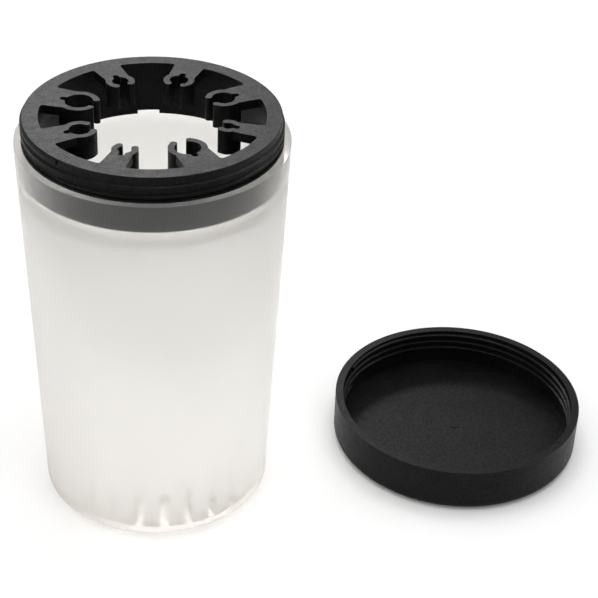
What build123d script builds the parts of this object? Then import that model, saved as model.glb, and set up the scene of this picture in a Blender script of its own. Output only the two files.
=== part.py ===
from build123d import *
import os
from math import asin, cos, degrees, radians, sin

# A cup for washing small brushes: a tapered cup, a collar with spring clips that
# plugs into its mouth, and a screw lid, which lies upside down beside the cup.
# Millimetres and degrees. The origin is the centre of the cup's base, +Z is up,
# and the lid lies along +X.

os.makedirs("parts", exist_ok=True)

# Cup
CUP_HEIGHT = 115.2
RIM_R = 38.0  # outer radius at the mouth
FOOT_R = 33.6  # outer radius at the table, before its corner is rounded
FOOT_ROUND = 2.6
RIM_ROUND = 0.6
MOUTH_R = 35.3  # straight bore that holds the collar
MOUTH_DEPTH = 10.5
FLOOR = 2.5
FLOOR_R = 31.5  # inner radius at the floor
FLOOR_ROUND = 1.5

# Scrubbing ribs inside the base: upright fins with roof-shaped tops
RIB_COUNT = 27
RIB_START_ANGLE = -1.4
RIB_WIDTH = 2.6
RIB_WALL_HEIGHT = 12.2  # straight side, at the wall
RIB_TIP_HEIGHT = 2.4  # roof above the straight side
RIB_INNER_R = 17.0  # where the fins run out towards the middle
RIB_INNER_HEIGHT = 1.2
RIB_SINK = 0.6  # how far a fin is rooted in the wall and the floor

# Collar
COLLAR_TOP = 122.5
SKIRT_DEPTH = 8.8  # below the rim
SKIRT_R = MOUTH_R - 0.05
RING_INNER_R = 31.0
NECK_R = 35.45  # root of the outside thread
FLANGE_R = 35.95  # step that rests on the rim
FLANGE_HEIGHT = 0.7
NECK_ROUND = 0.2
SKIRT_NOTCH_WIDTH = 6.3  # one notch in the skirt's lower edge, between two clips
SKIRT_NOTCH_HEIGHT = 1.1
SKIRT_NOTCH_DIRECTION = 84.3

# Clips: jaw openings face the middle. (direction from the centre, hole diameter)
CLIPS = [
    (16.8, 6.5),
    (61.8, 5.3),
    (106.8, 4.7),
    (151.8, 7.9),
    (196.8, 5.9),
    (241.8, 3.8),
    (286.8, 7.2),
    (331.8, 3.4),
]
CLIP_HEIGHT = 7.0
STEM_HEIGHT = 2.6  # the stems are a thin web at the top, and the clips hang below it
CLIP_CIRCLE_R = 21.5  # where the holes' centres lie
JAW = 1.7  # jaw thickness
TIP_R = 0.95  # rounded jaw tips, a little wider than the jaws
MOUTH_GAP = 2.2  # between the tips, growing a little with the hole
MOUTH_GROWTH = 0.08
NOTCH_WIDTH = 1.8  # relief behind each hole, as deep as the web
NOTCH_DEPTH = 1.6
STEM_WAIST = 1.6  # how much narrower than its clip a stem starts
STEM_FLARE = 1.7  # how much wider it ends at the ring
STEM_ROUND = 3.0
RING_CORNER_ROUND = 0.8

# Lid
LID_R = 38.6
LID_HEIGHT = 14.3
LID_TOP = 2.5  # thickness of its flat top
LID_BORE_R = 36.2  # root of the inside thread
LID_ROUND = 2.6
LID_RIM_ROUND = 0.4
LID_INNER_ROUND = 1.0
LID_GATE_R = 1.3  # raised moulding mark in the middle of the top's inside
LID_GATE_HEIGHT = 0.15
LID_X = 96.1  # where the lid lies

# Thread: both ridges have the same section, half a pitch apart when screwed together
PITCH = 2.4
COLLAR_THREAD_LENGTH = 2 * PITCH
LID_THREAD_LENGTH = 3 * PITCH
THREAD_START_Z = 1.45  # middle of a ridge's low end, above the rim
THREAD_TOP_DIRECTION = 217.3  # direction of the collar ridge's top end
RIDGE = 0.55  # ridge height
RIDGE_ROOT = 1.3
RIDGE_CREST = 0.6
RIDGE_SINK = 0.3  # how far a ridge is rooted in its wall


def ridge(root_r, outward, length, direction):
    """A helical ridge on a cylinder of radius root_r, standing outward (1) or inward (-1)."""
    with BuildPart() as thread:
        with BuildLine() as path:
            Helix(PITCH, length, root_r)
        section = Plane(origin=(root_r, 0, 0), x_dir=(outward, 0, 0), z_dir=(0, -outward, 0))
        with BuildSketch(section):
            with BuildLine():
                Polyline(
                    (-RIDGE_SINK, -RIDGE_ROOT / 2),
                    (0, -RIDGE_ROOT / 2),
                    (RIDGE, -RIDGE_CREST / 2),
                    (RIDGE, RIDGE_CREST / 2),
                    (0, RIDGE_ROOT / 2),
                    (-RIDGE_SINK, RIDGE_ROOT / 2),
                    close=True,
                )
            make_face()
        sweep(path=path.line, is_frenet=True)
    return thread.part.moved(Location((0, 0, THREAD_START_Z), (0, 0, direction)))


def jaw_tip_angle(hole):
    """Angle at the hole's centre between the middle of the mouth and the middle of a jaw tip."""
    gap = MOUTH_GAP + MOUTH_GROWTH * hole
    return degrees(asin((gap / 2 + TIP_R) / ((hole + JAW) / 2)))


collar_thread_turn = 360 * COLLAR_THREAD_LENGTH / PITCH
collar_ridge_direction = THREAD_TOP_DIRECTION - collar_thread_turn
lid_ridge_direction = collar_ridge_direction + 180

# ---------------------------------------------------------------- cup
with BuildPart() as cup:
    with BuildSketch(Plane.XZ):
        with BuildLine():
            Polyline(
                (0, 0),
                (FOOT_R, 0),
                (RIM_R, CUP_HEIGHT),
                (MOUTH_R, CUP_HEIGHT),
                (MOUTH_R, CUP_HEIGHT - MOUTH_DEPTH),
                (FLOOR_R, FLOOR),
                (0, FLOOR),
                close=True,
            )
        wall = make_face()
        fillet(wall.vertices().sort_by_distance((FOOT_R, 0, 0))[0], FOOT_ROUND)
        fillet(wall.vertices().sort_by_distance((RIM_R, CUP_HEIGHT, 0))[0], RIM_ROUND)
        fillet(wall.vertices().sort_by_distance((FLOOR_R, FLOOR, 0))[0], FLOOR_ROUND)
    revolve(axis=Axis.Z)

    rib_root_r = FLOOR_R + RIB_SINK
    for radius, height, tip in (
        (rib_root_r, RIB_WALL_HEIGHT, RIB_TIP_HEIGHT),
        (RIB_INNER_R, RIB_INNER_HEIGHT, RIB_INNER_HEIGHT),
    ):
        # seen along the radius: x runs round the cup, y runs up from inside the floor
        section = Plane(origin=(radius, 0, FLOOR - RIB_SINK), x_dir=(0, 1, 0), z_dir=(1, 0, 0))
        with BuildSketch(section):
            with BuildLine():
                Polyline(
                    (-RIB_WIDTH / 2, 0),
                    (RIB_WIDTH / 2, 0),
                    (RIB_WIDTH / 2, RIB_SINK + height),
                    (0, RIB_SINK + height + tip),
                    (-RIB_WIDTH / 2, RIB_SINK + height),
                    close=True,
                )
            make_face()
    rib = loft(mode=Mode.PRIVATE)
    with PolarLocations(0, RIB_COUNT, start_angle=RIB_START_ANGLE):
        add(rib)

# ---------------------------------------------------------------- collar
with BuildPart() as collar:
    with BuildSketch(Plane.XZ):
        with BuildLine():
            Polyline(
                (RING_INNER_R, CUP_HEIGHT - SKIRT_DEPTH),
                (SKIRT_R, CUP_HEIGHT - SKIRT_DEPTH),
                (SKIRT_R, CUP_HEIGHT),
                (FLANGE_R, CUP_HEIGHT),
                (FLANGE_R, CUP_HEIGHT + FLANGE_HEIGHT),
                (NECK_R, CUP_HEIGHT + FLANGE_HEIGHT),
                (NECK_R, COLLAR_TOP),
                (RING_INNER_R, COLLAR_TOP),
                close=True,
            )
        ring = make_face()
        fillet(ring.vertices().sort_by_distance((NECK_R, COLLAR_TOP, 0))[0], NECK_ROUND)
    revolve(axis=Axis.Z)

    # the web of stems that joins the clips to the ring
    with BuildSketch(Plane.XY.offset(COLLAR_TOP)) as web:
        Circle((RING_INNER_R + NECK_R) / 2)
        Circle(RING_INNER_R, mode=Mode.SUBTRACT)
        stem_length = RING_INNER_R + 1 - CLIP_CIRCLE_R
        for direction, hole in CLIPS:
            clip_r = hole / 2 + JAW
            waist = clip_r - STEM_WAIST / 2
            foot = waist + STEM_FLARE / 2
            with PolarLocations(CLIP_CIRCLE_R, 1, start_angle=direction):
                Circle(clip_r)
                Polygon(
                    (0, -waist),
                    (stem_length, -foot),
                    (stem_length, foot),
                    (0, waist),
                    align=None,
                )
        for direction, hole in CLIPS:
            clip_r = hole / 2 + JAW
            centre = Vector(CLIP_CIRCLE_R, 0, COLLAR_TOP).rotate(Axis.Z, direction)
            near_clip = web.vertices().filter_by(
                lambda v: abs((Vector(v) - centre).length - clip_r) < 0.01
            )
            fillet(near_clip, STEM_ROUND)
        ring_corners = web.vertices().filter_by(
            lambda v: abs(Vector(v.X, v.Y).length - RING_INNER_R) < 0.01
        )
        fillet(ring_corners, RING_CORNER_ROUND)
    extrude(amount=-STEM_HEIGHT)

    # the clips: round posts, then their holes and mouths, notches and jaw tips
    with BuildSketch(Plane.XY.offset(COLLAR_TOP)):
        for direction, hole in CLIPS:
            with PolarLocations(CLIP_CIRCLE_R, 1, start_angle=direction):
                Circle(hole / 2 + JAW)
    extrude(amount=-CLIP_HEIGHT)
    with BuildSketch(Plane.XY.offset(COLLAR_TOP)):
        for direction, hole in CLIPS:
            tip_angle = jaw_tip_angle(hole)
            # the mouth: a kite from the hole's centre, just past the jaws
            reach = 1.3 * (hole / 2 + JAW)
            side_x = -reach * cos(radians(tip_angle))
            side_y = reach * sin(radians(tip_angle))
            with PolarLocations(CLIP_CIRCLE_R, 1, start_angle=direction):
                Circle(hole / 2)
                Polygon(
                    (0, 0),
                    (side_x, side_y),
                    (-reach, 0),
                    (side_x, -side_y),
                    align=None,
                )
    extrude(amount=-CLIP_HEIGHT, mode=Mode.SUBTRACT)
    with BuildSketch(Plane.XY.offset(COLLAR_TOP)):
        for direction, hole in CLIPS:
            notch_x = hole / 2 + NOTCH_DEPTH - NOTCH_WIDTH / 2
            with PolarLocations(CLIP_CIRCLE_R, 1, start_angle=direction):
                SlotCenterPoint((0, 0), (notch_x, 0), NOTCH_WIDTH)
    extrude(amount=-STEM_HEIGHT, mode=Mode.SUBTRACT)
    with BuildSketch(Plane.XY.offset(COLLAR_TOP)):
        for direction, hole in CLIPS:
            jaw_middle_r = (hole + JAW) / 2
            with PolarLocations(CLIP_CIRCLE_R, 1, start_angle=direction):
                for tip_direction in (180 - jaw_tip_angle(hole), 180 + jaw_tip_angle(hole)):
                    with PolarLocations(jaw_middle_r, 1, start_angle=tip_direction):
                        Circle(TIP_R)
    extrude(amount=-CLIP_HEIGHT)

    with PolarLocations(RING_INNER_R, 1, start_angle=SKIRT_NOTCH_DIRECTION):
        with Locations((0, 0, CUP_HEIGHT - SKIRT_DEPTH)):
            Box(
                4 * (SKIRT_R - RING_INNER_R),
                SKIRT_NOTCH_WIDTH,
                2 * SKIRT_NOTCH_HEIGHT,
                mode=Mode.SUBTRACT,
            )

    collar_ridge = ridge(NECK_R, 1, COLLAR_THREAD_LENGTH, collar_ridge_direction)
    add(collar_ridge.moved(Location((0, 0, CUP_HEIGHT))))

# ---------------------------------------------------------------- lid
# made the right way up, with its rim at z = 0
with BuildPart() as lid:
    lid_inside = LID_HEIGHT - LID_TOP
    with BuildSketch(Plane.XZ):
        with BuildLine():
            Polyline(
                (LID_BORE_R, 0),
                (LID_R, 0),
                (LID_R, LID_HEIGHT),
                (0, LID_HEIGHT),
                (0, lid_inside - LID_GATE_HEIGHT),
                (LID_GATE_R, lid_inside - LID_GATE_HEIGHT),
                (LID_GATE_R, lid_inside),
                (LID_BORE_R, lid_inside),
                close=True,
            )
        shell = make_face()
        fillet(shell.vertices().sort_by_distance((LID_R, LID_HEIGHT, 0))[0], LID_ROUND)
        fillet(shell.vertices().sort_by_distance((LID_R, 0, 0))[0], LID_RIM_ROUND)
        fillet(shell.vertices().sort_by_distance((LID_BORE_R, lid_inside, 0))[0], LID_INNER_ROUND)
    revolve(axis=Axis.Z)
    add(ridge(LID_BORE_R, -1, LID_THREAD_LENGTH, lid_ridge_direction))

# turned over onto the table
lid.part = lid.part.moved(Location((LID_X, 0, LID_HEIGHT), (0, 180, 0)))

for name, piece in (("cup", cup), ("collar", collar), ("lid", lid)):
    piece.part.label = name
    export_step(piece.part, f"parts/{name}.step")
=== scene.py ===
"""A brush washing cup: translucent tapered cup, black clip collar and a loose black lid."""

from math import pi, radians

import bpy
from mathutils import Matrix, Vector

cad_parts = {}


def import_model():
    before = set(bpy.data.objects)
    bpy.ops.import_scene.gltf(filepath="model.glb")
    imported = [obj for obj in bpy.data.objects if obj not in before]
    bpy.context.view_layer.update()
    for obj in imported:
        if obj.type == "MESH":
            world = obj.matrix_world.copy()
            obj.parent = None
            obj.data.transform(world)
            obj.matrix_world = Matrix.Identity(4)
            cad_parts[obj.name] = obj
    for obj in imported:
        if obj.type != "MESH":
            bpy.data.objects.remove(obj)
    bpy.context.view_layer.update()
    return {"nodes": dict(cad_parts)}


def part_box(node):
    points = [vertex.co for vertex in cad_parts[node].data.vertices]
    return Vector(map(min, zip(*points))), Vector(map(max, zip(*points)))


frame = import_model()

# The camera, in the frame of the part: metres, degrees and, for the lens and the sensor, millimetres
CAMERA_AT = Vector((-0.05749, -0.40922, 0.33767))
CAMERA_DOWN = 33.651
CAMERA_TURNED_RIGHT = 13.804
CAMERA_ROLL = 2.477
CAMERA_LENS = 102.3
CAMERA_SENSOR = 36.0
CAMERA_CLIP_START = 0.01

# The studio, in metres
FLOOR_SIZE = 6.0
FLOOR_GAP = 0.0002  # keeps the floor's plane off the faces that stand on it
LAMPS_AIM = (0.03, 0, 0.05)  # the point that every softbox faces
WORLD_STRENGTH = 0.76

# Where the cup's plastic changes, as (low, high) heights in metres
FOOT, RIM = (corner.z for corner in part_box("cup"))
# the foot's rounded corner, over which painted shade darkens the cup's colour
FOOT_CORNER = (FOOT + 0.001, FOOT + 0.007)
FOOT_SHADE = (FOOT + 0.002, FOOT + 0.012)
RIBBED_BASE = (FOOT + 0.002, FOOT + 0.036)
BODY = (FOOT + 0.030, RIM - 0.0202)
UPPER_BODY = (FOOT + 0.040, RIM - 0.0152)
BELOW_SKIRT = (RIM - 0.0142, RIM - 0.0092)
SKIRT_EDGE = (RIM - 0.0152, RIM - 0.0072)

# The parts of a noise's range, from 0 to 1, that values and colours are stretched over
NOISE_LOW, NOISE_HIGH = 0.30, 0.70
RAMP_LOW, RAMP_HIGH = 0.35, 0.65


# ------------------------------------------------------------------ node helpers
def set_inputs(node, **values):
    """Sets a node's inputs by name, with _ for a space."""
    for key, value in values.items():
        node.inputs[key.replace("_", " ")].default_value = value


def link(source, target):
    source.id_data.links.new(source, target)


def new_material(name):
    """An empty node material, its Principled node and a function that adds nodes to it."""
    material = bpy.data.materials.new(name)
    material.use_nodes = True
    nodes = material.node_tree.nodes
    nodes.clear()

    def add(kind, **inputs):
        node = nodes.new("ShaderNode" + kind)
        set_inputs(node, **inputs)
        return node

    output = add("OutputMaterial")
    shader = add("BsdfPrincipled")
    link(shader.outputs[0], output.inputs["Surface"])
    return material, shader, add


def noise(add, scale, detail=2, roughness=0.5, stretch=(1, 1, 1)):
    """The value of a noise in object space; scale is in features per metre."""
    place = add("TexCoord")
    mapping = add("Mapping", Scale=stretch)
    texture = add("TexNoise", Scale=scale, Detail=detail, Roughness=roughness)
    link(place.outputs["Object"], mapping.inputs["Vector"])
    link(mapping.outputs["Vector"], texture.inputs["Vector"])
    return texture.outputs["Fac"]


def remap(add, value, low, high):
    """Stretches the middle of a noise from low to high."""
    node = add("MapRange", From_Min=NOISE_LOW, From_Max=NOISE_HIGH, To_Min=low, To_Max=high)
    link(value, node.inputs["Value"])
    return node.outputs["Result"]


def total_of(add, first, second):
    plus = add("Math")
    plus.operation = "ADD"
    link(first, plus.inputs[0])
    link(second, plus.inputs[1])
    return plus.outputs[0]


def by_height(add, steps, values):
    """A smooth change with height in object space, from one value to the next at each (low, high) step."""
    place = add("TexCoord")
    split = add("SeparateXYZ")
    link(place.outputs["Object"], split.inputs["Vector"])
    total = None
    for (low, high), before, after in zip(steps, values, values[1:]):
        start, end = (before, after) if total is None else (0, after - before)
        step = add("MapRange", From_Min=low, From_Max=high, To_Min=start, To_Max=end)
        step.interpolation_type = "SMOOTHSTEP"
        link(split.outputs["Z"], step.inputs["Value"])
        result = step.outputs["Result"]
        total = result if total is None else total_of(add, total, result)
    return total


def blend_colours(add, value, low, high):
    """The colour low where the noise is weak and high where it is strong."""
    ramp = add("ValToRGB")
    ends = ramp.color_ramp.elements
    for end, position, colour in zip(ends, (RAMP_LOW, RAMP_HIGH), (low, high)):
        end.position = position
        end.color = (*colour, 1)
    link(value, ramp.inputs["Fac"])
    return ramp.outputs["Color"]


def mix_colours(add, factor, first, second):
    """Mixes two colours, each of them fixed or another node's output."""
    mix = add("MixRGB")
    link(factor, mix.inputs["Fac"])
    for colour, socket in ((first, mix.inputs["Color1"]), (second, mix.inputs["Color2"])):
        if isinstance(colour, tuple):
            socket.default_value = (*colour, 1)
        else:
            link(colour, socket)
    return mix.outputs["Color"]


def mix_shaders(add, factor, first, second):
    mix = add("MixShader")
    link(factor, mix.inputs["Fac"])
    link(first.outputs[0], mix.inputs[1])
    link(second.outputs[0], mix.inputs[2])
    return mix


def bump(add, height, distance, strength=1.0, after=None):
    """A normal roughened by height, on top of the normal given by after."""
    node = add("Bump", Distance=distance, Strength=strength)
    link(height, node.inputs["Height"])
    if after is not None:
        link(after, node.inputs["Normal"])
    return node.outputs["Normal"]


# ------------------------------------------------------------------ materials
def frosted_tint_and_foot_shade(add):
    """Nearly white and a little cloudy, warmer towards the top, with painted shade that darkens the foot's
    corner where the cup stands on the floor.
    """
    cloud = noise(add, scale=35, detail=3)
    pale = blend_colours(add, cloud, low=(0.985, 0.983, 0.980), high=(0.998, 0.996, 0.993))
    warm = (0.999, 0.992, 0.978)
    body = mix_colours(add, by_height(add, (UPPER_BODY,), (0, 1)), pale, warm)
    # painted shade: this darker colour on the foot's corner stands in for the shade where the cup meets the
    # floor
    painted_foot_shade = (0.84, 0.825, 0.81)
    return mix_colours(add, by_height(add, (FOOT_CORNER,), (0, 1)), painted_foot_shade, body)


def frosted_roughness(add):
    """Clearer in the base, so that the ribs show, and at the skirt, which shows as a grey band."""
    haze = by_height(add, (RIBBED_BASE, SKIRT_EDGE), (0.37, 0.55, 0.40))
    cloudy = remap(add, noise(add, scale=60, detail=2), -0.03, 0.03)
    return total_of(add, haze, cloudy)


def milk(add, tint_and_foot_shade):
    """The light that the plastic scatters: most of it goes on, and some of the body's comes back."""
    passed = add("BsdfTranslucent")
    link(tint_and_foot_shade, passed.inputs["Color"])
    returned = add("BsdfDiffuse")
    link(tint_and_foot_shade, returned.inputs["Color"])
    return mix_shaders(add, by_height(add, (BODY, BELOW_SKIRT), (0, 0.35, 0)), passed, returned)


def frosted_plastic():
    """Milky translucent plastic: it scatters what passes through it, and lets lamps light what it holds."""
    material, shader, add = new_material("frosted_plastic")
    tint_and_foot_shade = frosted_tint_and_foot_shade(add)
    link(tint_and_foot_shade, shader.inputs["Base Color"])
    link(frosted_roughness(add), shader.inputs["Roughness"])
    set_inputs(shader, IOR=1.25, Transmission_Weight=1.0)
    set_inputs(shader, Coat_Weight=0.6, Coat_Roughness=0.06, Coat_IOR=1.45)
    ripple = noise(add, scale=45, detail=1, stretch=(1, 1, 0.3))
    link(bump(add, ripple, distance=0.00015), shader.inputs["Coat Normal"])

    milkiness = by_height(add, (RIBBED_BASE, SKIRT_EDGE), (0.50, 0.75, 0.06))
    milky = mix_shaders(add, milkiness, shader, milk(add, tint_and_foot_shade))
    clear = add("BsdfTransparent")
    link(by_height(add, (FOOT_SHADE,), (0.80, 0.955)), clear.inputs["Color"])
    lamps_pass = mix_shaders(add, add("LightPath").outputs["Is Shadow Ray"], milky, clear)
    depth = add("VolumeAbsorption", Density=72, Color=(0.62, 0.595, 0.555, 1))
    output = material.node_tree.get_output_node("ALL")
    link(lamps_pass.outputs[0], output.inputs["Surface"])
    link(depth.outputs[0], output.inputs["Volume"])
    return material


def black_plastic(name, dark, light, grain, specular):
    """Black satin plastic with a fine moulded grain, as deep as grain in metres."""
    material, shader, add = new_material(name)
    mottle = noise(add, scale=90, detail=4)
    link(blend_colours(add, mottle, dark, light), shader.inputs["Base Color"])
    wear = noise(add, scale=400, detail=3)
    link(remap(add, wear, 0.36, 0.46), shader.inputs["Roughness"])
    fine = noise(add, scale=1900, detail=2, roughness=0.6)
    soft = noise(add, scale=240, detail=2)
    waves = bump(add, soft, distance=0.00008, strength=0.6)
    link(bump(add, fine, distance=grain, strength=0.8, after=waves), shader.inputs["Normal"])
    shine = remap(add, fine, 0.5 * specular, 1.5 * specular)
    link(shine, shader.inputs["Specular IOR Level"])
    return material


def floor_material():
    """A plain pale matt floor."""
    material, shader, add = new_material("pale_floor")
    shade = noise(add, scale=6, detail=2)
    colour = blend_colours(add, shade, low=(0.93, 0.93, 0.93), high=(0.95, 0.95, 0.95))
    link(colour, shader.inputs["Base Color"])
    set_inputs(shader, Roughness=0.9, Specular_IOR_Level=0.1)
    return material


def dress(name, material):
    """Gives a CAD node its material."""
    materials = frame["nodes"][name].data.materials
    materials.clear()
    materials.append(material)


# ------------------------------------------------------------------ studio
def floor():
    bpy.ops.mesh.primitive_plane_add(size=FLOOR_SIZE, location=(0, 0, -FLOOR_GAP))
    plane = bpy.context.object
    plane.name = "studio_floor"
    plane.data.materials.append(floor_material())


def softbox(name, at, size, watts, shine_only=False):
    """An area lamp; with shine_only it shows as a reflection and lights nothing else."""
    data = bpy.data.lights.new(name, "AREA")
    data.shape = "RECTANGLE"
    data.size, data.size_y = size
    data.energy = watts
    lamp = bpy.data.objects.new(name, data)
    lamp.location = at
    towards = Vector(LAMPS_AIM) - Vector(at)
    lamp.rotation_euler = towards.to_track_quat("-Z", "Y").to_euler()
    lamp.visible_diffuse = not shine_only
    lamp.visible_transmission = not shine_only
    bpy.context.scene.collection.objects.link(lamp)


def world():
    """An even white light from all round."""
    sky = bpy.data.worlds.new("studio")
    sky.use_nodes = True
    set_inputs(sky.node_tree.nodes["Background"], Color=(1, 1, 1, 1), Strength=WORLD_STRENGTH)
    bpy.context.scene.world = sky


def studio():
    floor()
    world()
    softbox("back_softbox", at=(-0.06, 0.80, 0.66), size=(0.60, 0.14), watts=6.2, shine_only=True)
    softbox("right_softbox", at=(0.75, 0.25, 0.85), size=(0.25, 0.25), watts=2.6, shine_only=True)
    softbox("left_softbox", at=(-0.8, -0.1, 0.45), size=(0.4, 0.6), watts=7.0, shine_only=True)
    softbox("top_softbox", at=(0.1, 0.1, 1.2), size=(0.9, 0.9), watts=6.6)


def camera():
    data = bpy.data.cameras.new("camera")
    data.sensor_width = CAMERA_SENSOR
    data.lens = CAMERA_LENS
    data.clip_start = CAMERA_CLIP_START
    eye = bpy.data.objects.new("camera", data)
    turn = Matrix.Rotation(-radians(CAMERA_TURNED_RIGHT), 4, "Z")
    tilt = Matrix.Rotation(pi / 2 - radians(CAMERA_DOWN), 4, "X")
    roll = Matrix.Rotation(radians(CAMERA_ROLL), 4, "Z")
    eye.matrix_world = Matrix.Translation(CAMERA_AT) @ turn @ tilt @ roll
    bpy.context.scene.collection.objects.link(eye)
    bpy.context.scene.camera = eye


# ------------------------------------------------------------------ the part
dress("cup", frosted_plastic())
dress("collar", black_plastic("black_plastic", dark=(0.0025, 0.0025, 0.0026), light=(0.005, 0.005, 0.0052),
                              grain=0.00005, specular=0.085))
dress("lid", black_plastic("black_lid_plastic", dark=(0.003, 0.003, 0.003), light=(0.005, 0.005, 0.005),
                           grain=0.00002, specular=0.10))

studio()
camera()
bpy.context.scene.view_settings.view_transform = "Standard"
